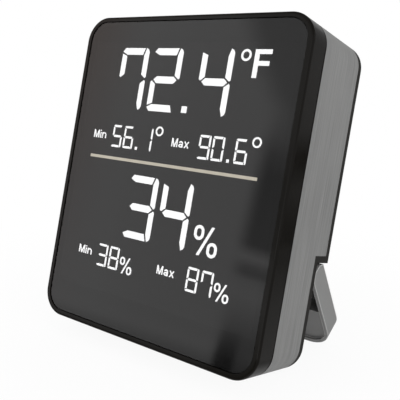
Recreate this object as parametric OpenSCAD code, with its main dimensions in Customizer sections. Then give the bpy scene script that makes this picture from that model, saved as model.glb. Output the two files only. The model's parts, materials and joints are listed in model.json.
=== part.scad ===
// Desktop digital hygrometer with thermometer that leans on a fold-out rear stand.
// Every piece is laid out on the upright body: x to the right, y to the back from the front plane,
// z up from the middle of the body. leaned() then tips the piece back with the open stand, so that
// the back cover's lower edge and the stand's foot rest on z = 0.

/* [Body] */
// Width of the body
body_w = 84.4; // [84:0.2:86]
// Height of the body
body_h = 100; // [99.6:0.2:101]
// Depth of the body without the open stand
body_d = 32.9; // [32.7:0.1:33.4]
// Radius of the body's corners, seen from the front
corner_r = 8; // [7.6:0.1:8.2]
// Depth of the black front frame
bezel_d = 8; // [7.8:0.1:8.2]
// Radius of the front frame's outer edge
edge_r = 0.8; // [0.4:0.1:1]
// Thickness of the silver band
band_t = 1.8; // [1.5:0.1:1.8]
// Thickness of the back cover
cover_t = 2.1; // [1.9:0.1:2.2]

/* [Window] */
// Width of the window
window_w = 80.4; // [80.2:0.1:80.6]
// Height of the window
window_h = 96.2; // [96:0.1:96.4]
// Thickness of the window
window_t = 1.2; // [1:0.1:1.2]
// How far the window lies behind the rim of the front frame
window_y = 0.3; // [0.2:0.1:0.5]
// How far the window's middle lies above the body's middle
window_rise = 0.1; // [0:0.1:0.2]

/* [Display] */
// Height of a large digit
digit_h = 19.6; // [19:0.1:19.8]
// Width of a large digit
digit_w = 11.25; // [11:0.05:11.4]
// Width of a large digit's lying strokes
stroke = 2.15; // [1.9:0.05:2.4]
// Size of a small digit against a large one
small_size = 0.362; // [0.34:0.001:0.37]

/* [Stand] */
// Angle from the back to the open stand
stand_angle = 45; // [44:0.5:46]
// Height of the recess that takes the folded stand
recess_h = 33.5; // [33:0.1:33.6]
// Depth of that recess
recess_d = 7.1; // [7:0.1:7.2]
// Thickness of the stand's walls
stand_wall = 1.2; // [1:0.1:1.3]
// Radius of the steel hinge pins
pin_r = 1; // [0.9:0.05:1]

/* [Back] */
// Width of the battery door
door_w = 54.6; // [54:0.2:55]
// Height of the battery door
door_h = 27; // [26.8:0.1:27.2]
// Width of a rear button
button_w = 8; // [7:0.2:8.4]
// Height of a rear button
button_h = 4.6; // [4:0.1:4.8]
// How far a rear button travels
button_travel = 0.5; // [0.3:0.05:0.5]
// Number of vent slots
vent_count = 7; // [5:1:7]

/* [Hidden] */
$fn = 64;
half_w = body_w / 2;
half_h = body_h / 2;
// How far joined and cut shapes reach into each other
overlap = 0.5;
// Play between stacked pieces
play = 0.05;

// Depths from the front plane to the back
tape_t = 0.2;
seat_y = window_y + window_t + tape_t;
flange_t = 1.5;
flange_back = seat_y + flange_t;
glass_t = 1.1;
glass_y = seat_y + play;
glass_back = glass_y + 2 * glass_t;
print_t = 0.08;
display_d = 4;
board_y = flange_back + display_d;
board_t = 1.6;
board_back = board_y + board_t;
cover_y = body_d - cover_t;
recess_y = body_d - recess_d;
recess_z = recess_h - half_h;
shelf_z = recess_z + cover_t;
low_cover_y = recess_y - cover_t;

// Front frame, the window's pocket in it and the tape behind the window
frame_wall = 3;
pocket_gap = 0.2;
groove_w = 0.4;
groove_d = 0.6;
groove_lip = 0.3;
lip_l = 2.5;
lip_t = 1.2;
lip_gap = 0.12;
window_r = corner_r - (body_w - window_w) / 2;
tape_inset = 0.3;

// Line printed on the window between temperature and humidity
divider_w = 64.4;
divider_h = 0.94;
divider_x = 0.15;
divider_z = 4.3;
divider_t = 0.05;

// Display glass, the frame and light guide behind it, and its contact strip
glass_w = 76;
glass_h = 79.8;
glass_z = 2;
glass_low = glass_z - glass_h / 2;
glass_gap = 0.2;
ledge_h = 3.4;
collar_gap = 0.1;
collar_t = 0.6;
shelf_w = 0.4;
bar_h = 0.7;
bar_low = glass_low + ledge_h + collar_gap;
light_t = 2.5;
light_gap = 0.3;
light_w = glass_w - 2 * (shelf_w + light_gap);
light_low = bar_low + bar_h + play;
light_high = glass_low + glass_h - shelf_w - light_gap;
strip_w = 66;
strip_h = 2.2;

// Main board and its potted controller
board_gap = 0.3;
chip_z = -20;
chip_r = 8;
chip_h = 2.2;

// Case screws in the four corners
screw_inset = 5.3;
screw_x = half_w - screw_inset;
screw_z = half_h - screw_inset;
screw_r = 1.15;
screw_floor = 1.1;
screw_tip = seat_y + screw_floor;
tip_gap = 0.2;
screw_head_r = 2.1;
screw_head_h = 1.5;
head_sink = 0.1;
head_gap = 0.2;
pilot_r = screw_r + play;
clear_r = pilot_r + head_gap;
post_r = 2;
tube_r = 2.3;

// Battery well, its two cells and their contacts
cell_r = 5.25;
cell_l = 43.3;
cell_gap = 0.15;
cell_depth = 7.5;
nub_r = 1.9;
nub_l = 1;
cell_pitch = 11;
well_z = 7.5;
well_w = 52;
well_h = 24.4;
well_wall = 2.6;
well_floor = 1.2;
cell_y = body_d - cell_depth;
well_y = cell_y - cell_r - cell_gap;
plate_t = 0.4;
plate_x = well_w / 2 - play - plate_t;
plate_size = 9;
tail_y = well_y + 1.5;
tail_w = 2;
tail_reach = 0.8;
tail_end = well_w / 2 + well_wall + tail_reach;
tail_gap = 0.2;
tail_slot_h = 1;

// Conical coil from a contact plate to a cell's flat end, along x
wire_r = 0.35;
wire_sides = 6;
spring_turns = 4.5;
spring_base_r = 3.6;
spring_tip_r = 2.4;
turn_steps = 14;
spring_steps = spring_turns * turn_steps;
spring_start = plate_x - wire_r - play;
spring_end = nub_l + cell_l - plate_x + wire_r + 3 * play;
function coil_point(t) =
    let (r = spring_base_r + t * (spring_tip_r - spring_base_r), turn = 360 * spring_turns * t)
    [spring_start + t * (spring_end - spring_start), r * cos(turn), r * sin(turn)];
spring_path = [for (i = [0 : spring_steps]) coil_point(i / spring_steps)];
spring_gap = min([for (i = [0 : spring_steps], j = [i + turn_steps / 2 : spring_steps])
    norm(spring_path[i] - spring_path[j])]) - 2 * wire_r;
echo(spring_least_gap = spring_gap);

// Leads from the solder tails to the board: x, y and the share of the rise to their pads
lead_r = 0.65;
lead_sides = 8;
lead_rise = 3;
lead_route = [[tail_end, tail_y + tail_w / 2, 0], [31.5, tail_y + tail_w / 2, 0], [33.2, 20.8, 0.1],
              [33.8, 18, 0.3], [33.6, 14.5, 0.6], [32.9, 11.5, 0.9], [32.5, 9.8, 1], [32.5, board_back, 1]];

// Battery door, which tilts on the lower edge of its outer face
door_gap = 0.25;
door_r = 2;
door_seat = cover_y + 0.15;
door_y = door_seat + play;
door_back = body_d - 0.1;
door_low = well_z - door_h / 2;
tongue_x = 16;
tongue_w = 7;
tongue_t = 1.3;
tongue_drop = 1.8;
tongue_reach = 1.4;
tongue_root = 1.1;
tongue_gap = 0.5;
tongue_slot_h = 5;
grip_count = 3;
grip_w = 16;
grip_h = 0.8;
grip_d = 0.5;
grip_pitch = 1.6;
grip_inset = 3;

// Key board behind the back cover, with buttons, switches and sensor
key_z = 31;
key_room = 6.4;
key_board_y = cover_y - key_room;
key_board_t = 1.2;
key_board_back = key_board_y + key_board_t;
key_board_w = 64;
key_board_h = 10.5;
key_board_x = 1.5;
key_board_r = 1;
key_post_x = [-9.4, 10.4];
key_post_r = 2;
key_pilot_d = 4;
key_screw_r = 0.85;
key_screw_l = 3.6;
key_head_r = 1.6;
key_head_h = 1.1;
button_x = [18.5, 29];
button_gap = 0.3;
button_top = body_d - 0.3;
button_root = 0.5;
rim_w = 0.9;
rim_t = 1;
stem_y = cover_y - 1.8;
stem_l = 1;
stem_r = 1.5;
switch_size = 6;
switch_h = 2.2;
plunger_r = 1.75;
plunger_gap = 0.1;
sensor_size = 5;
sensor_h = 1.8;
sensor_window = 2.4;
sensor_window_d = 1;
vent_x = -21.5;
vent_pitch = 2.8;
vent_w = 1.3;
vent_h = 9;

// Sockets of the flat cable on the two boards, and the cable with some slack between them
socket_w = 11;
socket_t = 3;
socket_h = 2.2;
socket_z = 27.6;
ribbon_w = 8;
ribbon_t = 0.3;
ribbon_steps = 16;
ribbon_slack = 1.6;
function slack(t) = [board_back + socket_h + t * (key_board_y - board_back - 2 * socket_h),
                     socket_z + ribbon_slack * sin(360 * t)];

// Hanging keyhole and the pocket that takes the screw head
keyhole_z = 33.5;
keyhole_r = 3.5;
keyhole_slot_r = 1.8;
keyhole_l = 6;
pocket_wall = 1.2;
pocket_d = 3.4;
pocket_w = 9.6;
pocket_h = 12;
pocket_z = keyhole_z + 2.3;

// Hinge of the stand
hinge_out = 4.3;
hinge_drop = 4.3;
hinge_y = recess_y + hinge_out;
hinge_z = recess_z - hinge_drop;
heel_r = hinge_out - 2 * play;
cam_r = hinge_out - play;
lug_r = 2.4;
lug_x = half_w - 8.8;
lug_w = 4.3;
lug_gap = 0.3;
boss_r = 2.6;
boss_x = lug_x + lug_w + lug_gap;
pin_gap = 0.05;
pin_l = 6.8;
pin_inset = 0.2;
bore_l = 2.7;

// Stand, folded, measured from its hinge
stand_gap = 0.15;
stand_front = stand_gap - hinge_out;
stand_back = body_d - hinge_y - play;
stand_top = 4;
chamfer_w = 1.75;
chamfer_h = 1.1;
foot_gap = 0.2;
stand_foot = half_h + hinge_z - foot_gap;
foot_step = 13.2;
foot_t = 6;
lug_slot = 3.3;

// How the object leans: the cover's lower edge and the foot's front edge at one height
foot_y = hinge_y + stand_front * cos(stand_angle) + stand_foot * sin(stand_angle);
foot_z = hinge_z + stand_front * sin(stand_angle) - stand_foot * cos(stand_angle);
lean = atan((half_h + foot_z) / (foot_y - recess_y));
lift = half_h * cos(lean) + recess_y * sin(lean);
front_reach = (half_h - edge_r) * sin(lean) - edge_r * cos(lean) + edge_r;
back_reach = body_d * cos(lean) + half_h * sin(lean);
centre_y = (back_reach - front_reach) / 2;

// What the display shows: each digit and the left edge of its place
large_rows = [[20.45, [[7, -25.8], [2, -12.15], [4, 6.4]]], [-19.45, [[3, -13.25], [4, 0.1]]]];
small_rows = [[7.95, [[5, -24.4], [6, -19.45], [1, -11.65]]], [7.7, [[9, 10.45], [0, 15.25], [6, 23.15]]],
              [-30.45, [[3, -22.2], [8, -17.2], [8, 14.05], [7, 19.2]]]];
large_points = [[2.8, 21.65]];
small_points = [[-13.6, 8.4], [21.25, 8.2]];
degree_rings = [[21.55, 38.25, 1.7, 0.66], [-5.15, 14.45, 1.5, 0.52], [29.8, 14.25, 1.5, 0.52]];
percent_signs = [[18.4, -15.25, 1], [-9.7, -28.25, 0.6], [26.55, -28.3, 0.6]];
unit_place = [24.4, 31.9];

// Uprights and gaps of the segments against the lying strokes; small digits are drawn more finely
upright = 0.91;
large_gap = 0.3 * stroke;
large_point = 0.93 * stroke;
small_stroke = 0.89 * stroke;
small_gap = 0.36 * stroke;
small_point = 0.42 * stroke;
lit_segments = ["abcdef", "bc", "abDeg", "abcdg", "bcFg", "acdfg", "acdefg", "abcf", "abcdefg", "abcdfg"];

// Tips a piece back onto the open stand, with the origin under the middle of the object
module leaned() {
    translate([0, -centre_y, lift])
        rotate([-lean, 0, 0])
            children();
}

// Extrudes an outline drawn in x and z from depth y0 towards the back
module face_extrude(y0, depth) {
    translate([0, y0, 0])
        rotate([90, 0, 0])
            mirror([0, 0, 1])
                linear_extrude(depth)
                    children();
}

// Extrudes a section drawn in y and z from x0 to the right
module side_extrude(x0, width) {
    translate([x0, 0, 0])
        rotate([90, 0, 90])
            linear_extrude(width)
                children();
}

// Rectangle with round corners
module rounded(w, h, r) {
    square([w - 2 * r, h], center = true);
    square([w, h - 2 * r], center = true);
    for (sx = [-1, 1], sz = [-1, 1])
        translate([sx * (w / 2 - r), sz * (h / 2 - r)])
            circle(r);
}

// Upright or lying slot with full round ends
module pill(w, h) {
    long = max(w, h);
    short = min(w, h);
    rotate(w > h ? 0 : 90) {
        square([long - short, short], center = true);
        for (end = [-1, 1])
            translate([end * (long - short) / 2, 0])
                circle(short / 2);
    }
}

// Outline of the body, drawn in by a distance
module body_outline(inset = 0) {
    rounded(body_w - 2 * inset, body_h - 2 * inset, corner_r - inset);
}

// Runs a section round a rounded rectangle: 0 is its outline, negative x lies inside, y is depth
module run_round(w, h, r) {
    rotate([90, 0, 0])
        mirror([0, 0, 1])
            for (i = [0 : 3]) {
                a = i % 2 == 0 ? w : h;
                b = i % 2 == 0 ? h : w;
                rotate(90 * i) {
                    translate([a / 2 - r, b / 2 - r, 0])
                        rotate_extrude(angle = 90)
                            translate([r, 0])
                                children();
                    translate([a / 2, b / 2 - r, 0])
                        rotate([90, 0, 0])
                            linear_extrude(b - 2 * r)
                                children();
                }
            }
}

// Places children at the four case screws, or at one pair of them
module at_screws(rows = [-1, 1]) {
    for (sx = [-1, 1], sz = rows)
        translate([sx * screw_x, sz * screw_z])
            children();
}

// Sections of a tube along a path, each square to the path there
function heading(path, i) =
    let (a = path[max(i - 1, 0)], b = path[min(i + 1, len(path) - 1)]) (b - a) / norm(b - a);
function ring(at, along, ref, r, sides) =
    let (side = cross(along, ref) / norm(cross(along, ref)), up = cross(side, along))
    [for (k = [0 : sides - 1]) at + r * (cos(360 * k / sides) * side + sin(360 * k / sides) * up)];

// Round tube of triangles along a path
module tube(path, r, sides, ref) {
    n = len(path);
    points = [for (i = [0 : n - 1]) each ring(path[i], heading(path, i), ref, r, sides)];
    wall = [for (i = [0 : n - 2], k = [0 : sides - 1], half = [0, 1])
        let (a = i * sides + k, b = i * sides + (k + 1) % sides)
        half == 0 ? [a, b, b + sides] : [a, b + sides, a + sides]];
    first = [for (k = [1 : sides - 2]) [0, k + 1, k]];
    last = [for (k = [1 : sides - 2]) (n - 1) * sides * [1, 1, 1] + [0, k, k + 1]];
    polyhedron(points, concat(wall, first, last));
}

// Front frame: rounded outer edge, and a shadow groove with a thin lip between it and the band
module frame_section() {
    difference() {
        union() {
            translate([-frame_wall, edge_r])
                square([frame_wall, bezel_d - edge_r]);
            translate([-frame_wall, 0])
                square([frame_wall - edge_r, bezel_d / 2]);
            translate([-edge_r, edge_r])
                circle(edge_r);
        }
        translate([-groove_d, bezel_d - groove_lip - groove_w])
            square([groove_d + overlap, groove_w]);
    }
}

module glass_opening(grow) {
    translate([0, glass_z])
        square([glass_w + 2 * grow, glass_h + 2 * grow], center = true);
}

module front_bezel() {
    color([0.12, 0.12, 0.12]) leaned() difference() {
        union() {
            run_round(body_w, body_h, corner_r)
                frame_section();
            face_extrude(seat_y, flange_t)
                difference() {
                    body_outline(frame_wall - overlap);
                    glass_opening(glass_gap);
                }
            face_extrude(bezel_d - overlap, lip_l + overlap)
                difference() {
                    body_outline(band_t + lip_gap);
                    body_outline(frame_wall);
                    at_screws() circle(tube_r + head_gap);
                }
            face_extrude(flange_back - overlap, board_y - flange_back + overlap - play)
                at_screws() circle(post_r);
        }
        face_extrude(-overlap, seat_y + overlap)
            translate([0, window_rise])
                rounded(window_w + 2 * pocket_gap, window_h + 2 * pocket_gap, window_r + pocket_gap);
        face_extrude(screw_tip - tip_gap, board_y)
            at_screws() circle(pilot_r);
    }
}

module display_window() {
    color([0.22, 0.22, 0.22, 0.7]) leaned()
        face_extrude(window_y, window_t)
            translate([0, window_rise])
                rounded(window_w, window_h, window_r);
}

module window_tape() {
    color([0.05, 0.05, 0.05]) leaned()
        face_extrude(window_y + window_t, tape_t)
            difference() {
                translate([0, window_rise])
                    rounded(window_w - 2 * tape_inset, window_h - 2 * tape_inset, window_r - tape_inset);
                glass_opening(tape_inset);
            }
}

module divider_strip() {
    color([0.75, 0.72, 0.66]) leaned()
        face_extrude(window_y - divider_t, divider_t)
            translate([divider_x, divider_z])
                square([divider_w, divider_h], center = true);
}

// Outline of one lit segment, from the digit's lower left corner: t is the width of its lying strokes,
// u that of its uprights, and gap the room between two segments. F is an f with no stroke above it,
// and D a d with no stroke to its right, which is an A turned upside down.
function segment_outline(s, t, gap) =
    let (w = digit_w, h = digit_h, m = digit_h / 2, u = upright * t, cut = 0.56 * t)
    s == "a" || s == "A" ?
        let (end = w - (s == "a" ? gap : 0))
        [[0, h - cut], [0.85 * cut, h], [end - cut, h], [end - u, h - t], [u, h - t]] :
    s == "b" ? [[w - cut, h], [w - 0.35 * cut, h - 0.35 * cut], [w, h - cut], [w, m + 0.35 * t],
                [w - 0.2 * t, m + gap / 2], [w - u, m + t / 2 + gap / 2], [w - u, h - t]] :
    s == "f" || s == "F" ?
        let (top = h - (s == "f" ? gap : 0))
        [[0, top - cut], [u, top - 0.9 * t], [u, m + t / 2 + gap / 2],
         [0.2 * t, m + gap / 2], [0, m + 0.35 * t]] :
    s == "g" ? [[0.2 * t + gap, m], [u + gap / 2, m + t / 2], [w - u - gap / 2, m + t / 2],
                [w - 0.2 * t - gap, m], [w - u - gap / 2, m - t / 2], [u + gap / 2, m - t / 2]] :
    upside_down(segment_outline(s == "c" ? "b" : s == "d" ? "a" : s == "D" ? "A" : "f", t, gap));
function upside_down(points) = [for (p = points) [p[0], digit_h - p[1]]];

module digit(value, t, gap) {
    for (s = lit_segments[value])
        polygon(segment_outline(s, t, gap));
}

module degree_ring(r, t) {
    difference() {
        circle(r);
        circle(r - t);
    }
}

// Two rings on either side of a slanted bar
module percent_sign() {
    ring_w = 3.5;
    ring_h = 4.3;
    ring_t = 0.92;
    ring_place = [2.62, -2.15];
    bar_w = 0.98;
    bar_side = 2.55;
    bar_top = 4.3;
    for (side = [-1, 1])
        translate(ring_place * side)
            difference() {
                pill(ring_w, ring_h);
                pill(ring_w - 2 * ring_t, ring_h - 2 * ring_t);
            }
    polygon([[-bar_side, -bar_top], [bar_w - bar_side, -bar_top],
             [bar_side, bar_top], [bar_side - bar_w, bar_top]]);
}

// Capital F of the temperature unit
module unit_sign() {
    sign_h = 8;
    stem_w = 1.5;
    bar_h = 1.3;
    bars = [[3.45, 5], [sign_h - bar_h, 5.4]];
    square([stem_w, sign_h]);
    for (bar = bars)
        translate([0, bar[0]])
            square([bar[1], bar_h]);
}

module lcd_segments() {
    color([1, 1, 1]) leaned()
        face_extrude(glass_y - print_t, print_t) {
            for (row = large_rows, d = row[1])
                translate([d[1], row[0]])
                    digit(d[0], stroke, large_gap);
            for (row = small_rows, d = row[1])
                translate([d[1], row[0]])
                    scale(small_size)
                        digit(d[0], small_stroke, small_gap);
            for (p = large_points)
                translate(p)
                    square(large_point, center = true);
            for (p = small_points)
                translate(p)
                    square(small_point, center = true);
            for (d = degree_rings)
                translate([d[0], d[1]])
                    degree_ring(d[2], d[3]);
            for (p = percent_signs)
                translate([p[0], p[1]])
                    scale(p[2])
                        percent_sign();
            translate(unit_place)
                unit_sign();
        }
}

// Two glass plates; the front one stands out below as the contact ledge
module lcd_panel() {
    color([0.1, 0.11, 0.13]) leaned() {
        face_extrude(glass_y, glass_t)
            glass_opening(0);
        face_extrude(glass_y + glass_t, glass_t)
            translate([0, glass_z + ledge_h / 2])
                square([glass_w, glass_h - ledge_h], center = true);
    }
}

module backlight_panel() {
    color([0.93, 0.94, 0.95]) leaned()
        face_extrude(glass_back + play, light_t)
            translate([-light_w / 2, light_low])
                square([light_w, light_high - light_low]);
}

// Frame behind the glass: a collar round it, a shelf behind it and a bar that holds the contact strip
module lcd_frame() {
    color([0.85, 0.85, 0.82]) leaned() {
        face_extrude(flange_back + play, board_y - flange_back - 2 * play)
            difference() {
                glass_opening(collar_gap + collar_t);
                glass_opening(collar_gap);
            }
        face_extrude(glass_back + play, board_y - glass_back - 2 * play) {
            difference() {
                glass_opening(collar_gap + collar_t / 2);
                glass_opening(-shelf_w);
            }
            translate([-glass_w / 2, bar_low])
                square([glass_w, bar_h]);
        }
    }
}

// Elastomer strip that joins the glass ledge to the board
module contact_strip() {
    color([0.6, 0.2, 0.2]) leaned()
        face_extrude(glass_y + glass_t, board_y - glass_y - glass_t - play)
            translate([0, glass_low + ledge_h / 2])
                square([strip_w, strip_h], center = true);
}

module main_board() {
    color([0.1, 0.35, 0.2]) leaned()
        face_extrude(board_y, board_t)
            difference() {
                body_outline(frame_wall + board_gap);
                at_screws() circle(pilot_r + board_gap);
            }
}

// Potted controller, a flat dome on the board
module controller_chip() {
    ball_r = (chip_r * chip_r + chip_h * chip_h) / (2 * chip_h);
    color([0.08, 0.08, 0.08]) leaned()
        translate([0, board_back, chip_z])
            intersection() {
                translate([0, chip_h - ball_r, 0])
                    sphere(ball_r, $fn = 240);
                translate([-chip_r, 0, -chip_r])
                    cube([2 * chip_r, chip_h + overlap, 2 * chip_r]);
            }
}

module housing_band() {
    color([0.52, 0.52, 0.52]) leaned() difference() {
        face_extrude(bezel_d, cover_y - bezel_d)
            difference() {
                body_outline();
                body_outline(band_t);
            }
        translate([-half_w - overlap, low_cover_y, -half_h - overlap])
            cube([body_w + 2 * overlap, recess_d + cover_t, shelf_z + half_h + overlap]);
    }
}

// Stepped section of the back cover: upper plate, shelf over the recess, recess wall
module cover_section() {
    polygon([[cover_y, half_h], [body_d, half_h], [body_d, recess_z], [recess_y, recess_z],
             [recess_y, -half_h], [low_cover_y, -half_h], [low_cover_y, shelf_z], [cover_y, shelf_z]]);
}

module lug_section() {
    translate([hinge_y, hinge_z])
        circle(lug_r);
    translate([hinge_y - lug_r, hinge_z])
        square([2 * lug_r, recess_z - hinge_z + overlap]);
}

// Places children on the right and, mirrored, on the left
module both_sides() {
    for (side = [0, 1])
        mirror([side, 0, 0])
            children();
}

module keyhole() {
    translate([0, keyhole_z])
        circle(keyhole_r);
    translate([0, keyhole_z + keyhole_l])
        circle(keyhole_slot_r);
    translate([-keyhole_slot_r, keyhole_z])
        square([2 * keyhole_slot_r, keyhole_l]);
}

module keyhole_pocket(grow) {
    translate([0, pocket_z])
        square([pocket_w + 2 * grow, pocket_h + 2 * grow], center = true);
}

module well_outline(grow) {
    translate([0, well_z])
        square([well_w + 2 * grow, well_h + 2 * grow], center = true);
}

module cover_body() {
    intersection() {
        face_extrude(0, body_d)
            body_outline();
        side_extrude(-half_w - overlap, body_w + 2 * overlap)
            cover_section();
    }
    // Lip that locates the cover inside the band
    face_extrude(cover_y - lip_l, lip_l + overlap)
        difference() {
            body_outline(band_t + lip_gap);
            body_outline(band_t + lip_gap + lip_t);
            translate([-half_w, -half_h])
                square([body_w, half_h + shelf_z + overlap]);
        }
    face_extrude(well_y - well_floor, door_seat - well_y + well_floor)
        well_outline(well_wall);
    face_extrude(board_back + play, cover_y - board_back)
        at_screws([1]) circle(tube_r);
    face_extrude(board_back + play, low_cover_y - board_back)
        at_screws([-1]) circle(tube_r);
    face_extrude(key_board_back, cover_y - key_board_back + overlap)
        for (x = key_post_x)
            translate([x, key_z])
                circle(key_post_r);
    face_extrude(cover_y - pocket_d - pocket_wall, pocket_d + pocket_wall + overlap)
        keyhole_pocket(pocket_wall);
    both_sides()
        side_extrude(lug_x, lug_w)
            lug_section();
}

module rear_cover() {
    color([0.21, 0.2, 0.19]) leaned() difference() {
        cover_body();
        face_extrude(well_y, body_d)
            well_outline(0);
        face_extrude(door_seat, cover_t + overlap)
            translate([0, well_z])
                rounded(door_w + 2 * door_gap, door_h + 2 * door_gap, door_r + door_gap);
        // Slots for the door's tongues
        for (side = [-1, 1])
            translate([side * tongue_x, door_y - tongue_drop - tongue_gap, door_low])
                translate([-tongue_w / 2 - tongue_gap, 0, -0.7 * tongue_slot_h])
                    cube([tongue_w + 2 * tongue_gap, tongue_drop + tongue_gap - play, tongue_slot_h]);
        // Slots for the contacts' solder tails
        for (side = [-1, 1])
            translate([0, tail_y - tail_gap, well_z + (side * cell_pitch - tail_slot_h) / 2])
                cube([tail_end + overlap, tail_w + 2 * tail_gap, tail_slot_h]);
        face_extrude(0, body_d + overlap)
            at_screws() circle(clear_r);
        face_extrude(body_d - screw_head_h - head_sink, cover_t)
            at_screws([1]) circle(screw_head_r + head_gap);
        face_extrude(recess_y - screw_head_h - head_sink, cover_t)
            at_screws([-1]) circle(screw_head_r + head_gap);
        face_extrude(key_board_back - overlap, key_pilot_d + overlap)
            for (x = key_post_x)
                translate([x, key_z])
                    circle(key_screw_r + play);
        face_extrude(cover_y - overlap, cover_t + 2 * overlap)
            for (x = button_x)
                translate([x, key_z])
                    pill(button_w + 2 * button_gap, button_h + 2 * button_gap);
        face_extrude(cover_y - overlap, cover_t + 2 * overlap)
            for (i = [0 : vent_count - 1])
                translate([vent_x + (i - (vent_count - 1) / 2) * vent_pitch, key_z])
                    pill(vent_w, vent_h);
        face_extrude(cover_y - overlap, cover_t + 2 * overlap)
            keyhole();
        face_extrude(cover_y - pocket_d, pocket_d)
            keyhole_pocket(0);
        both_sides()
            translate([lug_x - overlap, hinge_y, hinge_z])
                rotate([0, 90, 0])
                    cylinder(h = lug_w + 2 * overlap, r = pin_r);
    }
}

module key_board() {
    color([0.1, 0.35, 0.2]) leaned()
        face_extrude(key_board_y, key_board_t)
            difference() {
                translate([key_board_x, key_z])
                    rounded(key_board_w, key_board_h, key_board_r);
                for (x = key_post_x)
                    translate([x, key_z])
                        circle(key_screw_r + head_gap);
            }
}

module key_switches() {
    plunger_y = key_board_back + switch_h;
    plunger_end = stem_y - button_travel - plunger_gap;
    color([0.75, 0.75, 0.73]) leaned()
        for (x = button_x)
            translate([x, 0, key_z]) {
                face_extrude(key_board_back, switch_h)
                    square(switch_size, center = true);
                face_extrude(plunger_y, plunger_end - plunger_y)
                    circle(plunger_r);
            }
}

module humidity_sensor() {
    color([0.9, 0.9, 0.88]) leaned()
        translate([vent_x, key_board_back, key_z])
            difference() {
                face_extrude(0, sensor_h)
                    square(sensor_size, center = true);
                face_extrude(sensor_h - sensor_window_d, sensor_h)
                    square(sensor_window, center = true);
            }
}

// Screw along y with its head at the front or the back
module screw(head_y, tip_y, r, head_r, head_h) {
    back = sign(head_y - tip_y);
    face_extrude(min(head_y, tip_y), abs(head_y - tip_y))
        circle(r);
    difference() {
        face_extrude(back > 0 ? head_y : head_y - head_h, head_h)
            circle(head_r);
        face_extrude(back > 0 ? head_y + head_h / 2 : head_y - head_h - overlap, head_h / 2 + overlap)
            for (turn = [0, 90])
                rotate(turn)
                    square([1.5 * head_r, 0.35 * head_r], center = true);
    }
}

module key_board_screws() {
    color([0.7, 0.7, 0.7]) leaned()
        for (x = key_post_x)
            translate([x, 0, key_z])
                screw(key_board_y, key_board_back + key_screw_l, key_screw_r, key_head_r, key_head_h);
}

module upper_case_screws() {
    color([0.65, 0.65, 0.65]) leaned()
        for (side = [-1, 1])
            translate([side * screw_x, 0, screw_z])
                screw(body_d - screw_head_h - head_sink, screw_tip, screw_r, screw_head_r, screw_head_h);
}

module lower_case_screws() {
    color([0.65, 0.65, 0.65]) leaned()
        for (side = [-1, 1])
            translate([side * screw_x, 0, -screw_z])
                screw(recess_y - screw_head_h - head_sink, screw_tip, screw_r, screw_head_r, screw_head_h);
}

module ribbon_sockets() {
    color([0.93, 0.92, 0.88]) leaned()
        for (y = [board_back, key_board_y - socket_h])
            face_extrude(y, socket_h)
                translate([0, socket_z])
                    square([socket_w, socket_t], center = true);
}

module ribbon_cable() {
    steps = ribbon_steps;
    color([0.8, 0.8, 0.78]) leaned()
        side_extrude(-ribbon_w / 2, ribbon_w)
            polygon(concat([for (i = [0 : steps]) slack(i / steps) + [0, ribbon_t / 2]],
                           [for (i = [steps : -1 : 0]) slack(i / steps) - [0, ribbon_t / 2]]));
}

// Button cap in the back cover's opening, with its rim behind the cover and its stem
module button(x) {
    translate([x, 0, key_z]) {
        face_extrude(cover_y - button_root, button_top - cover_y + button_root)
            pill(button_w, button_h);
        face_extrude(cover_y - play - rim_t, rim_t)
            pill(button_w + 2 * rim_w, button_h + 2 * rim_w);
        face_extrude(stem_y, stem_l)
            circle(stem_r);
    }
}

module unit_button() {
    color([0.3, 0.3, 0.29]) leaned() button(button_x[0]);
}

module reset_button() {
    color([0.3, 0.3, 0.29]) leaned() button(button_x[1]);
}

module battery_door() {
    color([0.21, 0.2, 0.19]) leaned() {
        difference() {
            face_extrude(door_y, door_back - door_y)
                translate([0, well_z])
                    rounded(door_w, door_h, door_r);
            for (i = [0 : grip_count - 1])
                face_extrude(door_back - grip_d, 2 * grip_d)
                    translate([0, well_z + door_h / 2 - grip_inset - grip_pitch * i])
                        pill(grip_w, grip_h);
        }
        // Tongues that hook under the cover's plate below the door
        for (side = [-1, 1])
            translate([side * tongue_x - tongue_w / 2, door_y - tongue_drop, door_low]) {
                translate([0, 0, -tongue_reach])
                    cube([tongue_w, tongue_t, tongue_reach + tongue_root]);
                cube([tongue_w, tongue_drop + play, tongue_root]);
            }
    }
}

// Cell with its positive nub towards +x
module cell(z) {
    end = plate_x - play;
    translate([end, cell_y, z])
        rotate([0, -90, 0]) {
            cylinder(h = nub_l + overlap, r = nub_r);
            translate([0, 0, nub_l])
                cylinder(h = cell_l, r = cell_r);
        }
}

module upper_cell() {
    color([0.2, 0.22, 0.25]) leaned() cell(well_z + cell_pitch / 2);
}

module lower_cell() {
    color([0.2, 0.22, 0.25]) leaned() mirror([1, 0, 0]) cell(well_z - cell_pitch / 2);
}

module battery_springs() {
    color([0.8, 0.8, 0.8]) leaned()
        for (side = [-1, 1])
            translate([0, cell_y, well_z + side * cell_pitch / 2])
                mirror([side > 0 ? 1 : 0, 0, 0])
                    tube(spring_path, wire_r, wire_sides, [1, 0, 0]);
}

// One plate links the cells on the left; two plates with solder tails stand on the right
module battery_plates() {
    color([0.8, 0.78, 0.7]) leaned() {
        translate([-plate_x - plate_t, cell_y - plate_size / 2, well_z - cell_pitch / 2 - plate_size / 2])
            cube([plate_t, plate_size, cell_pitch + plate_size]);
        for (side = [-1, 1])
            translate([plate_x, 0, well_z + side * cell_pitch / 2]) {
                translate([0, cell_y - plate_size / 2, -plate_size / 2])
                    cube([plate_t, plate_size, plate_size]);
                translate([0, tail_y, -plate_t / 2])
                    cube([tail_end - plate_x, tail_w, plate_t]);
            }
    }
}

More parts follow.
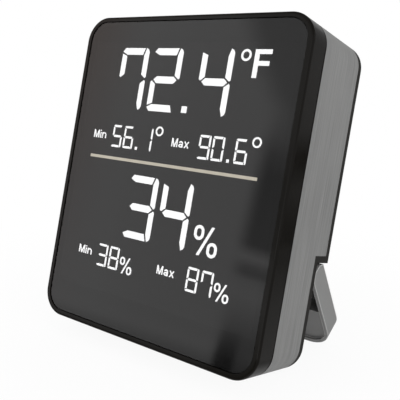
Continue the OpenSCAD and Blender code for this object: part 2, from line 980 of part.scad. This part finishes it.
module battery_leads() {
    color([0.7, 0.1, 0.1]) leaned()
        for (side = [-1, 1])
            tube([for (p = lead_route) [p[0], p[1], well_z + side * cell_pitch / 2 + lead_rise * p[2]]],
                 lead_r, lead_sides, [0, 0, 1]);
}

// Section of the folded stand, from its hinge: chamfered top, round heel that turns against the recess
module stand_section() {
    heel = heel_r * sqrt(2);
    difference() {
        polygon([[stand_front, -stand_foot], [stand_back, -stand_foot], [stand_back, stand_top - chamfer_h],
                 [stand_back - chamfer_w, stand_top], [stand_top - heel, stand_top],
                 [stand_front, heel + stand_front]]);
        difference() {
            translate([2 * stand_front, 0])
                square([-2 * stand_front, heel / 2]);
            circle(cam_r);
        }
    }
}

// Face of the stand, open at the top, drawn in by a distance
module stand_outline(inset) {
    tall = 2 * stand_foot;
    translate([0, tall / 2 - stand_foot + inset])
        rounded(body_w - 2 * inset, tall, corner_r - inset);
}

module folded_stand() {
    tray_y = 2 * stand_front;
    difference() {
        union() {
            difference() {
                intersection() {
                    side_extrude(-half_w, body_w)
                        stand_section();
                    face_extrude(tray_y, stand_back - tray_y + overlap)
                        stand_outline(0);
                }
                face_extrude(tray_y, stand_back - foot_t - tray_y)
                    stand_outline(stand_wall);
                face_extrude(tray_y, stand_back - stand_wall - tray_y)
                    intersection() {
                        stand_outline(stand_wall);
                        translate([-half_w, -foot_step])
                            square([body_w, 2 * stand_foot]);
                    }
            }
            both_sides()
                translate([boss_x, 0, 0])
                    rotate([0, 90, 0])
                        cylinder(h = half_w - boss_x - stand_wall + overlap, r = boss_r);
        }
        both_sides()
            translate([boss_x - overlap, 0, 0])
                rotate([0, 90, 0])
                    cylinder(h = bore_l + overlap, r = pin_r + pin_gap);
        // Room for the cover's hinge lugs
        both_sides()
            translate([lug_x - lug_gap, tray_y, -lug_slot])
                cube([boss_x - lug_x + lug_gap, stand_foot, stand_foot]);
    }
}

module stand() {
    color([0.5, 0.5, 0.5]) leaned()
        translate([0, hinge_y, hinge_z])
            rotate([stand_angle, 0, 0])
                folded_stand();
}

module stand_pins() {
    color([0.75, 0.75, 0.75]) leaned()
        both_sides()
            translate([lug_x + pin_inset, hinge_y, hinge_z])
                rotate([0, 90, 0])
                    cylinder(h = pin_l, r = pin_r);
}

front_bezel();
display_window();
window_tape();
divider_strip();
lcd_segments();
lcd_panel();
backlight_panel();
lcd_frame();
contact_strip();
main_board();
controller_chip();
housing_band();
rear_cover();
key_board();
key_switches();
humidity_sensor();
key_board_screws();
ribbon_cable();
ribbon_sockets();
unit_button();
reset_button();
battery_door();
upper_cell();
lower_cell();
battery_springs();
battery_plates();
battery_leads();
stand();
stand_pins();
upper_case_screws();
lower_case_screws();
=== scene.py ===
"""Looks of a desktop digital hygrometer: its surfaces, display words, studio light and camera."""

import json
import math
from collections import namedtuple

import bpy
from mathutils import Matrix, Vector


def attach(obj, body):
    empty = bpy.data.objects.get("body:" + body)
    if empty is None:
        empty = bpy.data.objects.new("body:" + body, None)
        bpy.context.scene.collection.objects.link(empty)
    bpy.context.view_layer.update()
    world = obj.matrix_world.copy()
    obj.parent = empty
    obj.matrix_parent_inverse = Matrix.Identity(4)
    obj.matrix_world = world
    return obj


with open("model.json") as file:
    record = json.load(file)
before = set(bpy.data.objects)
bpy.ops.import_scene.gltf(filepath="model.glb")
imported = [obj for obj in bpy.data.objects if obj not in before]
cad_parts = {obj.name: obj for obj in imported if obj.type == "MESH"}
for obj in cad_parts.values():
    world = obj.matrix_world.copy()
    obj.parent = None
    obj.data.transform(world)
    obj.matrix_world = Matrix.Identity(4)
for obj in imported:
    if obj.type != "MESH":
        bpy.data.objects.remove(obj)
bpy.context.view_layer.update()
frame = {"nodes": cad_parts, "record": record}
scene = bpy.context.scene
MM = 0.001

# The body's own axes, leaned back in the frame, and its zero point in the middle of the front plane
MOUNTS = {mount["name"]: mount for mount in frame["record"]["mounts"]}
RIGHT = Vector((1, 0, 0))
BACK = Vector(MOUNTS["back_face"]["axis"]).normalized()
UP = -Vector(MOUNTS["underside"]["axis"]).normalized()
LEAN = math.atan2(UP.y, UP.z)
UNDERSIDE_DEPTH = 16 * MM
HALF_HEIGHT = 50 * MM
FRONT = Vector(MOUNTS["underside"]["pos_m"]) - UNDERSIDE_DEPTH * BACK + HALF_HEIGHT * UP

# Camera, where the photograph was taken, with its turns in degrees and its lens in millimetres
CAMERA_PLACE = Vector((119.014, -155.554, 90.862)) * MM
CAMERA_TURN = 36.888
CAMERA_TILT = -12.913
CAMERA_ROLL = 0.854
CAMERA_LENS = 56.105
CAMERA_NEAREST = 10 * MM

# Light from all round, and the depth on the body, in millimetres, at which the lamps are aimed
AMBIENT_LEVEL = 0.72
LAMP_AIM_DEPTH = 15

# Floor: half its side, its two tones, and how plain white takes over from near the object to farther out
FLOOR_HALF = 3.0
FLOOR_CLOUD = 0.4
FLOOR_DARKER = (0.9, 0.9, 0.9)
FLOOR_LIGHTER = (0.92, 0.92, 0.92)
FLOOR_WHITE_SHARE = 0.93
FLOOR_FADE_START = 50 * MM
FLOOR_FADE_END = 160 * MM

# What glossy faces mirror: a white room with darker parts. Each part has a right and a left edge, in degrees
# to the left of the front, the width over which these fade, how far they shift to the left for each degree
# above a middle height, and its levels or colours at angles above the horizon.
ROOM_LEVEL = 1.28
SLANT_MIDDLE = 10
DarkPart = namedtuple("DarkPart", "right left fade slant levels")
DARK_PARTS = [
    # In front, for the right side of the window
    DarkPart(right=0, left=31.8, fade=2, slant=0.07, levels=[
        (-2, 0.42), (0, 0.55), (2, 0.8), (4, 1), (5.2, 0.9), (5.9, 0.55), (6.5, 0.65), (7.3, 1),
        (8.5, 0.42), (15, 0.36), (17, 0.48), (19, 0.75), (21, 1),
    ]),
    # Narrow and low, for the window's lower right corner
    DarkPart(right=29.2, left=31, fade=0.8, slant=0, levels=[(-3, 0.3), (-1.5, 0.4), (0.8, 1)]),
    # Slanted and high, for the window's upper right corner
    DarkPart(right=-20, left=23.3, fade=4, slant=0.81, levels=[(14, 1), (18, 0.75), (22, 0.62), (28, 0.6)]),
    # Warm, for the left side of the window
    DarkPart(right=47.5, left=80, fade=7, slant=0.12, levels=[
        (-2, (0.9, 0.865, 0.87)), (12, (0.87, 0.78, 0.76)), (28, (0.84, 0.72, 0.66)),
    ]),
    # Behind on the left, for the top of the front frame and the turns of its right corners
    DarkPart(right=72, left=200, fade=14, slant=0, levels=[(-40, 0.36), (-20, 0.4), (-10, 0.36), (30, 0.36)]),
    # Behind on the right, for the right sides of the front frame, the band and the stand
    DarkPart(right=-200, left=-115, fade=20, slant=0, levels=[
        (-50, 0.45), (-36, 0.3), (-28, 0.58), (-22, 0.48), (-19.4, 0.36), (-18.3, 0.17), (-17.3, 0.28),
        (-16.6, 0.05), (-14, 0.12), (-11.5, 0.18), (-9.5, 0.03), (-8, 0.04), (-6.8, 0.26), (0, 0.3),
        (14, 0.24), (30, 0.2),
    ]),
    # On the right, for the rounded right front edge
    DarkPart(right=-110, left=-25, fade=20, slant=0, levels=[(-30, 0.4), (30, 0.4)]),
    # Low in front, for the lowest strip of the window and the lower rim of the front frame
    DarkPart(right=-20, left=130, fade=20, slant=0, levels=[
        (-60, 0.75), (-35, 0.6), (-16, 0.1), (-5, 0.1), (-1.5, 1),
    ]),
    # All round, darker below and far above the horizon
    DarkPart(right=-200, left=200, fade=10, slant=0, levels=[
        (-60, 1), (-40, 0.68), (-20, 0.43), (-12, 0.86), (12, 0.92), (28, 1), (42, 0.4),
    ]),
]

# Display words: text, left end and foot on the front plane, and width, in millimetres
WORDS = [
    ("Min", -32.9, 10.32, 5.6),
    ("Max", 0.25, 10.32, 6.6),
    ("Min", -31.0, -27.78, 5.9),
    ("Max", 2.75, -27.84, 6.7),
]
CAPITAL = 2.6 * MM
WORD_DEPTH = 1.7 * MM
WORD_THICKNESS = 0.08 * MM
SEGMENT_GLOW = 13


def arch(x, z, across, upwards, start, end):
    """Points on part of an oval round x and z, from one angle in degrees to another."""
    steps = 12
    angles = [math.radians(start + (end - start) * step / steps) for step in range(steps + 1)]
    return [(x + across * math.cos(angle), z + upwards * math.sin(angle)) for angle in angles]


# Letters as the middle lines of their strokes, with their width, against the height of a capital
LETTER_STROKE = 0.165
LETTER_GAP = 0.13
LETTERS = {
    "M": (0.88, [
        [(0.08, 0), (0.08, 1)],
        [(0.12, 0.97), (0.44, 0)],
        [(0.44, 0), (0.76, 0.97)],
        [(0.8, 1), (0.8, 0)],
    ]),
    "i": (0.16, [
        [(0.08, 0), (0.08, 0.74)],
        [(0.08, 0.86), (0.08, 1)],
    ]),
    "n": (0.68, [
        [(0.08, 0), (0.08, 0.74)],
        [*arch(0.34, 0.42, 0.26, 0.25, 180, 0), (0.6, 0)],
    ]),
    "a": (0.67, [
        [*arch(0.34, 0.48, 0.22, 0.19, 165, 0), (0.56, 0)],
        arch(0.32, 0.22, 0.23, 0.14, 0, 360),
    ]),
    "x": (0.7, [
        [(0.08, 0), (0.62, 0.74)],
        [(0.08, 0.74), (0.62, 0)],
    ]),
}

# Fine detail of the surfaces: the part of its range that noise mostly keeps to, softened edges, a painted
# highlight that lightens edges, clouds of moulded surfaces and strokes of brushed ones, and how far roughness
# strays from its middle
NOISE_LOW = 0.25
NOISE_HIGH = 0.75
EDGE_RADIUS = 0.15 * MM
EDGE_SAMPLES = 6
HIGHLIGHT_SAMPLES = 8
HIGHLIGHT_REACH = 1.6
FACING_WHERE_HIGHLIGHTED = 0.9
FACING_WHERE_UNHIGHLIGHTED = 0.99
CLOUD_SIZE = 14 * MM
GLOSS_PATCH = 5 * MM
MOULDED_STRAY = 0.06
STROKE_WIDTH = 0.4 * MM
STROKE_BAND = 4 * MM
STROKE_SHARE = 0.85
STROKE_DEPTH = 0.006 * MM
BRUSHED_STRAY = 0.07

# Where the pale band of each cell starts, from the body's middle towards its raised pole, and how sharply
CELL_BAND = 13 * MM
CELL_BAND_FADE = 0.1 * MM

# Places of the colour sockets on a Mix node, whose sockets of other kinds have the same names
MIX_FIRST = 6
MIX_SECOND = 7
MIX_RESULT = 2


def body_point(x, y, z):
    """Point of the frame from millimetres on the body: right, back from the front plane, up."""
    return FRONT + MM * (x * RIGHT + y * BACK + z * UP)


class Nodes:
    """Short ways to build a tree of shader nodes."""

    def __init__(self, tree):
        self.tree = tree

    def add(self, kind, **settings):
        """New node of a kind, with its settings."""
        node = self.tree.nodes.new("ShaderNode" + kind)
        for key, value in settings.items():
            setattr(node, key, value)
        return node

    def join(self, source, target):
        """Links an output to an input."""
        self.tree.links.new(source, target)

    def math(self, operation, *terms):
        """Result of an operation on outputs and plain numbers."""
        node = self.add("Math", operation=operation)
        for socket, term in zip(node.inputs, terms):
            if isinstance(term, (int, float)):
                socket.default_value = term
            else:
                self.join(term, socket)
        return node.outputs["Value"]

    def span(self, value, low, high, start=NOISE_LOW, end=NOISE_HIGH, course="LINEAR"):
        """Value from start to end, spread over low to high."""
        node = self.add("MapRange", interpolation_type=course)
        node.inputs["From Min"].default_value = start
        node.inputs["From Max"].default_value = end
        node.inputs["To Min"].default_value = low
        node.inputs["To Max"].default_value = high
        self.join(value, node.inputs["Value"])
        return node.outputs["Result"]

    def mix(self, share, first, second, manner="MIX"):
        """Colour between two, each plain or an output, by the share of the second."""
        node = self.add("Mix", data_type="RGBA", blend_type=manner)
        self.join(share, node.inputs["Factor"])
        for socket, colour in ((node.inputs[MIX_FIRST], first), (node.inputs[MIX_SECOND], second)):
            if isinstance(colour, tuple):
                socket.default_value = (*colour, 1)
            else:
                self.join(colour, socket)
        return node.outputs[MIX_RESULT]

    def mix_shaders(self, share, first, second):
        """Shader between two, by the share of the second."""
        node = self.add("MixShader")
        self.join(share, node.inputs["Fac"])
        self.join(first, node.inputs[1])
        self.join(second, node.inputs[2])
        return node.outputs["Shader"]


class Surface(Nodes):
    """A procedural material in the making, on the body's own axes."""

    def __init__(self, name, **values):
        """Values are for the shader's own sockets, named with underscores for blanks."""
        self.material = bpy.data.materials.new(name)
        self.material.use_nodes = True
        super().__init__(self.material.node_tree)
        self.shader = self.tree.nodes["Principled BSDF"]
        for socket, value in values.items():
            self.shader.inputs[socket.replace("_", " ")].default_value = value

    def place(self):
        """Position on the piece, turned upright with the body."""
        turned = self.add("VectorRotate", rotation_type="X_AXIS")
        turned.inputs["Angle"].default_value = LEAN
        self.join(self.add("TexCoord").outputs["Object"], turned.inputs["Vector"])
        return turned.outputs["Vector"]

    def facing(self):
        """Direction that the shape itself faces."""
        return self.add("NewGeometry").outputs["Normal"]

    def rounded(self, radius, samples):
        """Direction that the shape faces, with its edges rounded off."""
        bevel = self.add("Bevel", samples=samples)
        bevel.inputs["Radius"].default_value = radius
        return bevel.outputs["Normal"]

    def sideways(self, vector):
        """How far a place lies, or a direction points, to the right."""
        parts = self.add("SeparateXYZ")
        self.join(vector, parts.inputs["Vector"])
        return parts.outputs["X"]

    def noise(self, size, stretch=(1, 1, 1), detail=2):
        """Noise whose features measure size, times stretch along each body axis."""
        scale = self.add("Mapping")
        scale.inputs["Scale"].default_value = [1 / (size * times) for times in stretch]
        self.join(self.place(), scale.inputs["Vector"])
        texture = self.add("TexNoise")
        texture.inputs["Scale"].default_value = 1
        texture.inputs["Detail"].default_value = detail
        self.join(scale.outputs["Vector"], texture.inputs["Vector"])
        return texture.outputs["Fac"]

    def clouds(self, size, darker, lighter, detail=2):
        """Colour that drifts between two tones, in clouds of a size."""
        return self.mix(self.span(self.noise(size, detail=detail), 0, 1), darker, lighter)

    def paint_edge_highlight(self, colour, painted_highlight, reach):
        """Colour that turns to a lighter one within reach of an edge: a painted highlight."""
        along = self.add("VectorMath", operation="DOT_PRODUCT")
        self.join(self.rounded(reach, HIGHLIGHT_SAMPLES), along.inputs[0])
        self.join(self.facing(), along.inputs[1])
        share = self.span(along.outputs["Value"], 1, 0, start=FACING_WHERE_HIGHLIGHTED, end=FACING_WHERE_UNHIGHLIGHTED)
        return self.mix(share, colour, painted_highlight)

    def paint(self, colour):
        """Gives the surface its colour."""
        self.join(colour, self.shader.inputs["Base Color"])

    def gloss(self, roughness):
        """Gives the surface its roughness."""
        self.join(roughness, self.shader.inputs["Roughness"])

    def relief(self, height, depth, edge):
        """Gives the surface a relief of a depth, over edges softened to a radius."""
        bump = self.add("Bump")
        bump.inputs["Distance"].default_value = depth
        self.join(height, bump.inputs["Height"])
        self.join(self.rounded(edge, EDGE_SAMPLES), bump.inputs["Normal"])
        self.join(bump.outputs["Normal"], self.shader.inputs["Normal"])


def shade(colour, factor):
    """Colour made darker or lighter by a factor."""
    return tuple(channel * factor for channel in colour)


def moulded(name, colour, rough, grain=0.25 * MM, depth=0.01 * MM, spread=0.1, **values):
    """Moulded or lacquered surface: faint clouds in colour and gloss, and a fine grain in relief."""
    darker = shade(colour, 1 - spread)
    lighter = shade(colour, 1 + spread)
    surface = Surface(name, **values)
    surface.paint(surface.clouds(CLOUD_SIZE, darker, lighter, detail=4))
    surface.gloss(surface.span(surface.noise(GLOSS_PATCH), rough - MOULDED_STRAY, rough + MOULDED_STRAY))
    if depth:
        surface.relief(surface.noise(grain), depth, EDGE_RADIUS)
    return surface.material


def brushed(name, colour, rough, along, spread=0.12, edge=EDGE_RADIUS, painted_highlight=0, **values):
    """Metal or lacquer with fine strokes, lengthened along each body axis, and edges lightened by a painted
    highlight.
    """
    darker = shade(colour, 1 - spread)
    lighter = shade(colour, 1 + spread)
    surface = Surface(name, **values)
    strokes = surface.noise(STROKE_WIDTH, stretch=along, detail=3)
    bands = surface.noise(STROKE_BAND, stretch=along, detail=1)
    stroke_tone = surface.span(strokes, 0, STROKE_SHARE)
    band_tone = surface.span(bands, 0, 1 - STROKE_SHARE)
    strokes_and_highlight = surface.mix(surface.math("ADD", stroke_tone, band_tone), darker, lighter)
    # Painted highlight: the edges' colour is made lighter, standing in for light caught on them
    if painted_highlight:
        strokes_and_highlight = surface.paint_edge_highlight(strokes_and_highlight, shade(colour, 1 + painted_highlight), HIGHLIGHT_REACH * edge)
    surface.paint(strokes_and_highlight)
    surface.gloss(surface.span(strokes, rough - BRUSHED_STRAY, rough + BRUSHED_STRAY))
    surface.relief(strokes, STROKE_DEPTH, edge)
    return surface.material


def tinted_window():
    """Smoke-tinted acrylic with a polished face and faint handling marks."""
    darker_tint = (0.078, 0.078, 0.078)
    lighter_tint = (0.084, 0.083, 0.082)
    tint_cloud = 30 * MM
    mark_size = 8 * MM
    mark_roughness = 0.04
    surface = Surface("window_tint", Transmission_Weight=1.0, IOR=1.5)
    surface.paint(surface.clouds(tint_cloud, darker_tint, lighter_tint))
    marks = surface.noise(mark_size, detail=5)
    surface.gloss(surface.span(marks, 0, mark_roughness, start=0.45, end=0.8))
    return surface.material


def lit_white():
    """Display segments that glow white through the tinted window."""
    cool_white = (0.97, 0.98, 1.0)
    full_white = (1.0, 1.0, 1.0)
    glow_cloud = 3 * MM
    surface = Surface("segments_white", Emission_Strength=SEGMENT_GLOW)
    colour = surface.clouds(glow_cloud, cool_white, full_white)
    surface.paint(colour)
    surface.join(colour, surface.shader.inputs["Emission Color"])
    return surface.material


def cell_sleeve(name, pole_side):
    """Dark sleeve of a cell with a pale band towards its raised pole, and bare metal on its two ends."""
    darker_sleeve = (0.026, 0.031, 0.04)
    lighter_sleeve = (0.034, 0.04, 0.05)
    pale_band = (0.42, 0.42, 0.4)
    bare_metal = (0.6, 0.59, 0.56)
    rough = 0.32
    wrinkle = 0.6 * MM
    wrinkle_depth = 0.002 * MM
    edge = 0.3 * MM
    band_start = pole_side * CELL_BAND
    band_end = pole_side * (CELL_BAND + CELL_BAND_FADE)
    surface = Surface(name)
    sleeve = surface.clouds(CLOUD_SIZE, darker_sleeve, lighter_sleeve, detail=4)
    band = surface.span(surface.sideways(surface.place()), 0, 1, start=band_start, end=band_end)
    printed = surface.mix(band, sleeve, pale_band)
    to_either_end = surface.math("ABSOLUTE", surface.sideways(surface.facing()))
    bare = surface.span(to_either_end, 0, 1, start=0.6, end=0.7)
    surface.paint(surface.mix(bare, printed, bare_metal))
    surface.join(bare, surface.shader.inputs["Metallic"])
    surface.gloss(surface.span(surface.noise(GLOSS_PATCH), rough - MOULDED_STRAY, rough + MOULDED_STRAY))
    surface.relief(surface.noise(wrinkle), wrinkle_depth, edge)
    return surface.material


MATERIALS = {
    "front_bezel": moulded("frame_black", (0.0053, 0.0046, 0.0037), 0.1, depth=0.003 * MM,
                           Specular_IOR_Level=0.17),
    "display_window": tinted_window(),
    "window_tape": moulded("tape_black", (0.004, 0.004, 0.0042), 0.08, depth=0, Specular_IOR_Level=1.0),
    "divider_strip": moulded("print_beige", (0.5, 0.46, 0.38), 0.5, depth=0.004 * MM, spread=0.05),
    "lcd_segments": lit_white(),
    "lcd_panel": moulded("display_glass", (0.004, 0.004, 0.0042), 0.6, depth=0, Specular_IOR_Level=0.02),
    "backlight_panel": moulded("light_guide", (0.8, 0.82, 0.84), 0.35),
    "lcd_frame": moulded("frame_white", (0.72, 0.72, 0.69), 0.5),
    "contact_strip": moulded("elastomer", (0.42, 0.1, 0.09), 0.7),
    "main_board": moulded("board_green", (0.02, 0.17, 0.07), 0.35, grain=0.8 * MM),
    "controller_chip": moulded("potting_black", (0.01, 0.01, 0.01), 0.3),
    "housing_band": brushed("band_silver", (0.258, 0.258, 0.255), 0.42, (50, 1, 50), spread=0.28,
                            Metallic=0.25),
    "rear_cover": moulded("cover_dark", (0.015, 0.0141, 0.0122), 0.55, grain=0.4 * MM, depth=0.05 * MM,
                          Specular_IOR_Level=0.35),
    # The stand's edges get a painted highlight, a lighter colour along them
    "stand": brushed("stand_silver", (0.268, 0.268, 0.265), 0.38, (3, 3, 3), spread=0.05, edge=0.35 * MM,
                     painted_highlight=1.3, Metallic=0.2),
    "key_switches": brushed("switch_steel", (0.55, 0.55, 0.54), 0.3, (8, 1, 1), Metallic=1.0),
    "humidity_sensor": moulded("sensor_white", (0.75, 0.75, 0.72), 0.5),
    "upper_case_screws": brushed("screw_steel", (0.42, 0.42, 0.42), 0.32, (1, 1, 1), Metallic=1.0),
    "ribbon_cable": brushed("ribbon_grey", (0.5, 0.5, 0.48), 0.5, (1, 20, 20)),
    "unit_button": moulded("button_dark", (0.07, 0.07, 0.068), 0.65),
    "upper_cell": cell_sleeve("upper_cell_sleeve", pole_side=1),
    "lower_cell": cell_sleeve("lower_cell_sleeve", pole_side=-1),
    "battery_springs": brushed("contact_nickel", (0.6, 0.59, 0.55), 0.25, (1, 1, 1), Metallic=1.0),
    "battery_leads": moulded("lead_red", (0.4, 0.02, 0.02), 0.45),
    "stand_pins": brushed("pin_steel", (0.5, 0.5, 0.5), 0.25, (10, 1, 1), Metallic=1.0),
}
SAME_AS = {
    "ribbon_sockets": "lcd_frame",
    "key_board": "main_board",
    "key_board_screws": "upper_case_screws",
    "lower_case_screws": "upper_case_screws",
    "reset_button": "unit_button",
    "battery_door": "rear_cover",
    "battery_plates": "battery_springs",
}


def dress_nodes():
    """Gives every solid its material."""
    for name, node in frame["nodes"].items():
        material = MATERIALS[SAME_AS.get(name, name)]
        node.data.materials.clear()
        node.data.materials.append(material)


def word_strokes(text):
    """Strokes of a word, its letters side by side, and its width, against the height of a capital."""
    strokes = []
    left = 0
    for letter in text:
        letter_width, lines = LETTERS[letter]
        for line in lines:
            strokes.append([(left + across, upwards) for across, upwards in line])
        left += letter_width + LETTER_GAP
    return strokes, left - LETTER_GAP


def add_words():
    """Lettering of the display, on the plane of its segments."""
    stand_up = Matrix((RIGHT, UP, -BACK)).transposed().to_4x4()
    for number, (text, x, z, width) in enumerate(WORDS, start=1):
        strokes, drawn_width = word_strokes(text)
        curve = bpy.data.curves.new(f"display_word_{number}", "CURVE")
        curve.dimensions = "3D"
        curve.bevel_depth = LETTER_STROKE / 2
        curve.bevel_resolution = 2
        curve.use_fill_caps = True
        for stroke in strokes:
            spline = curve.splines.new("POLY")
            spline.points.add(len(stroke) - 1)
            for point, (across, upwards) in zip(spline.points, stroke):
                point.co = (across, upwards, 0, 1)
        curve.materials.append(MATERIALS["lcd_segments"])
        word = bpy.data.objects.new(curve.name, curve)
        scene.collection.objects.link(word)
        size = Matrix.Diagonal((width * MM / drawn_width, CAPITAL, WORD_THICKNESS / LETTER_STROKE, 1))
        place = Matrix.Translation(body_point(x, 0, z) + WORD_DEPTH * BACK)
        word.matrix_world = place @ stand_up @ size
        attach(word, "case")


def add_floor():
    """Pale floor that keeps a soft shadow near the object and turns into plain white farther out."""
    corners = [(x * FLOOR_HALF, y * FLOOR_HALF, 0) for x, y in ((-1, -1), (1, -1), (1, 1), (-1, 1))]
    mesh = bpy.data.meshes.new("floor")
    mesh.from_pydata(corners, [], [(0, 1, 2, 3)])
    floor = bpy.data.objects.new("floor", mesh)
    floor.visible_glossy = False
    scene.collection.objects.link(floor)
    surface = Surface("floor_pale", Roughness=0.9, Specular_IOR_Level=0.0)
    surface.paint(surface.clouds(FLOOR_CLOUD, FLOOR_DARKER, FLOOR_LIGHTER))
    distance = surface.add("VectorMath", operation="LENGTH")
    surface.join(surface.add("TexCoord").outputs["Object"], distance.inputs[0])
    white_share = surface.span(distance.outputs["Value"], FLOOR_WHITE_SHARE, 1,
                               start=FLOOR_FADE_START, end=FLOOR_FADE_END)
    ray = surface.add("LightPath")
    seen = surface.math("MAXIMUM", ray.outputs["Is Camera Ray"], ray.outputs["Is Transmission Ray"])
    plain_white = surface.add("Emission")
    shader = surface.mix_shaders(surface.math("MULTIPLY", seen, white_share),
                                 surface.shader.outputs["BSDF"], plain_white.outputs["Emission"])
    surface.join(shader, surface.tree.nodes["Material Output"].inputs["Surface"])
    mesh.materials.append(surface.material)


def darken(nodes, room, turn, rise, part):
    """Colour of the room with a dark part laid over it, seen at a turn and a rise in degrees."""
    shift = nodes.math("MULTIPLY", nodes.math("SUBTRACT", rise, SLANT_MIDDLE), part.slant)
    upright = nodes.math("SUBTRACT", turn, shift)
    half_fade = part.fade / 2
    past_right = nodes.span(upright, 0, 1, part.right - half_fade, part.right + half_fade, "SMOOTHSTEP")
    short_of_left = nodes.span(upright, 0, 1, part.left + half_fade, part.left - half_fade, "SMOOTHSTEP")
    inside = nodes.math("MULTIPLY", past_right, short_of_left)
    lowest = part.levels[0][0]
    highest = part.levels[-1][0]
    ramp = nodes.add("ValToRGB")
    nodes.join(nodes.span(rise, 0, 1, lowest, highest), ramp.inputs["Fac"])
    stops = ramp.color_ramp.elements
    while len(stops) < len(part.levels):
        stops.new(0.5)
    for stop, (angle, level) in zip(stops, part.levels):
        colour = level if isinstance(level, tuple) else (level, level, level)
        stop.position = (angle - lowest) / (highest - lowest)
        stop.color = (*colour, 1)
    return nodes.mix(inside, room, ramp.outputs["Color"], manner="MULTIPLY")


def add_world():
    """Plain level of light on the object, white behind it, and a room with darker parts to mirror."""
    world = bpy.data.worlds.new("studio")
    scene.world = world
    world.use_nodes = True
    nodes = Nodes(world.node_tree)
    nodes.tree.nodes.clear()

    # Direction of the ray, as degrees to the left of the front and above the horizon
    direction = nodes.add("SeparateXYZ")
    nodes.join(nodes.add("TexCoord").outputs["Generated"], direction.inputs["Vector"])
    to_front = nodes.math("MULTIPLY", direction.outputs["Y"], -1)
    to_left = nodes.math("MULTIPLY", direction.outputs["X"], -1)
    turn = nodes.math("DEGREES", nodes.math("ARCTAN2", to_left, to_front))
    rise = nodes.math("DEGREES", nodes.math("ARCSINE", direction.outputs["Z"]))

    room = (ROOM_LEVEL, ROOM_LEVEL, ROOM_LEVEL)
    for part in DARK_PARTS:
        room = darken(nodes, room, turn, rise, part)

    def background(level):
        """Light of one level from all round."""
        node = nodes.add("Background")
        node.inputs["Color"].default_value = (1, 1, 1, 1)
        node.inputs["Strength"].default_value = level
        return node

    mirrored = background(1)
    nodes.join(room, mirrored.inputs["Color"])
    plain = background(1)
    ambient = background(AMBIENT_LEVEL)
    ray = nodes.add("LightPath")
    shown = nodes.mix_shaders(ray.outputs["Is Glossy Ray"],
                              plain.outputs["Background"], mirrored.outputs["Background"])
    light = nodes.mix_shaders(ray.outputs["Is Diffuse Ray"], shown, ambient.outputs["Background"])
    nodes.join(light, nodes.add("OutputWorld").inputs["Surface"])


def add_lamp(name, place, size, power):
    """Large soft lamp that looks at the object."""
    light = bpy.data.lights.new(name, "AREA")
    light.size = size
    light.energy = power
    lamp = bpy.data.objects.new(name, light)
    lamp.location = place
    aim = body_point(0, LAMP_AIM_DEPTH, 0) - Vector(place)
    lamp.rotation_euler = aim.to_track_quat("-Z", "Y").to_euler()
    lamp.visible_glossy = False
    lamp.visible_transmission = False
    scene.collection.objects.link(lamp)


def add_camera():
    """Camera at the photograph's viewing angle."""
    camera = bpy.data.objects.new("camera", bpy.data.cameras.new("camera"))
    camera.data.lens = CAMERA_LENS
    camera.data.clip_start = CAMERA_NEAREST
    turn = Matrix.Rotation(math.radians(CAMERA_TURN), 4, "Z")
    tilt = Matrix.Rotation(math.radians(90 + CAMERA_TILT), 4, "X")
    roll = Matrix.Rotation(math.radians(CAMERA_ROLL), 4, "Z")
    camera.matrix_world = Matrix.Translation(CAMERA_PLACE) @ turn @ tilt @ roll
    scene.collection.objects.link(camera)
    scene.camera = camera


scene.view_settings.view_transform = "Standard"
dress_nodes()
add_words()
add_floor()
add_world()
add_lamp("key_light", place=(-0.7, -1.0, 1.1), size=1.0, power=5)
add_lamp("side_light", place=(1.2, -0.4, 0.6), size=0.8, power=6)
add_camera()
